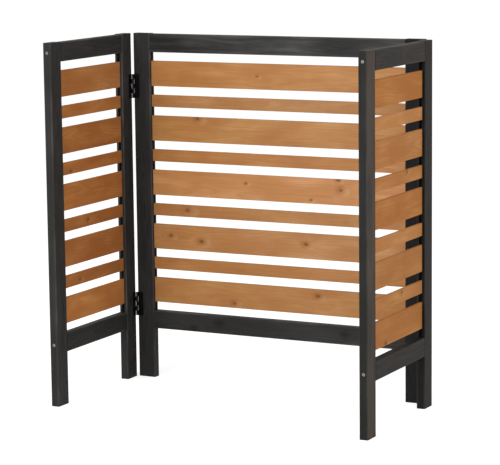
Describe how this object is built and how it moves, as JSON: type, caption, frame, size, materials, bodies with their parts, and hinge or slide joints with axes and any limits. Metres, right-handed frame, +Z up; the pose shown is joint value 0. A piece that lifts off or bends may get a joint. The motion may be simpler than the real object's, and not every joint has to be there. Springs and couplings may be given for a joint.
{
  "type": "folding garden privacy screen",
  "caption": "Low three-panel garden screen: a wide slatted centre panel with a narrow slatted wing hinged at each side.",
  "frame": {"origin": "on the ground, at the middle of the footprint of the screen as it stands with both wings square to the centre panel", "axes": "+Z up, +Y towards the back of the centre panel, the screened bay opens towards -Y, +X to the right seen from the open side"},
  "size_m": [0.9036, 0.4418, 0.95],
  "materials": {
    "black_stained_pine": "matt black stain over softwood",
    "oiled_pine": "satin honey-brown stain over knotty pine",
    "black_steel": "satin black",
    "zinc_screw": "zinc plated"
  },
  "bodies": {
    "centre_panel": {"centre_bottom_rail": "black_stained_pine", "centre_left_stile": "black_stained_pine", "centre_right_stile": "black_stained_pine", "centre_slat_1": "oiled_pine", "centre_slat_2": "oiled_pine", "centre_slat_3": "oiled_pine", "centre_slat_4": "oiled_pine", "centre_slat_5": "oiled_pine", "centre_slat_6": "oiled_pine", "centre_slat_7": "oiled_pine", "centre_slat_8": "oiled_pine", "centre_slat_9": "oiled_pine", "centre_top_rail": "black_stained_pine", "left_lower_hinge_centre_leaf": "black_steel", "left_lower_hinge_pin": "black_steel", "left_upper_hinge_centre_leaf": "black_steel", "left_upper_hinge_pin": "black_steel", "right_lower_hinge_centre_leaf": "black_steel", "right_lower_hinge_pin": "black_steel", "right_upper_hinge_centre_leaf": "black_steel", "right_upper_hinge_pin": "black_steel"},
    "left_wing": {"left_lower_hinge_wing_leaf": "black_steel", "left_upper_hinge_wing_leaf": "black_steel", "left_wing_bottom_rail": "black_stained_pine", "left_wing_left_stile": "black_stained_pine", "left_wing_right_stile": "black_stained_pine", "left_wing_slat_1": "oiled_pine", "left_wing_slat_2": "oiled_pine", "left_wing_slat_3": "oiled_pine", "left_wing_slat_4": "oiled_pine", "left_wing_slat_5": "oiled_pine", "left_wing_slat_6": "oiled_pine", "left_wing_slat_7": "oiled_pine", "left_wing_slat_8": "oiled_pine", "left_wing_slat_9": "oiled_pine", "left_wing_top_rail": "black_stained_pine"},
    "right_wing": {"right_lower_hinge_wing_leaf": "black_steel", "right_upper_hinge_wing_leaf": "black_steel", "right_wing_bottom_rail": "black_stained_pine", "right_wing_left_stile": "black_stained_pine", "right_wing_right_stile": "black_stained_pine", "right_wing_slat_1": "oiled_pine", "right_wing_slat_2": "oiled_pine", "right_wing_slat_3": "oiled_pine", "right_wing_slat_4": "oiled_pine", "right_wing_slat_5": "oiled_pine", "right_wing_slat_6": "oiled_pine", "right_wing_slat_7": "oiled_pine", "right_wing_slat_8": "oiled_pine", "right_wing_slat_9": "oiled_pine", "right_wing_top_rail": "black_stained_pine"}
  },
  "joints": [
    {"name": "left_wing_hinge", "type": "hinge", "parent": "centre_panel", "child": "left_wing", "pos_m": [-0.4255, 0.1946, 0.475], "axis": [0, 0, 1], "range_deg": [-90, 90]},
    {"name": "right_wing_hinge", "type": "hinge", "parent": "centre_panel", "child": "right_wing", "pos_m": [0.4255, 0.1946, 0.475], "axis": [0, 0, -1], "range_deg": [-90, 90]}
  ]
}
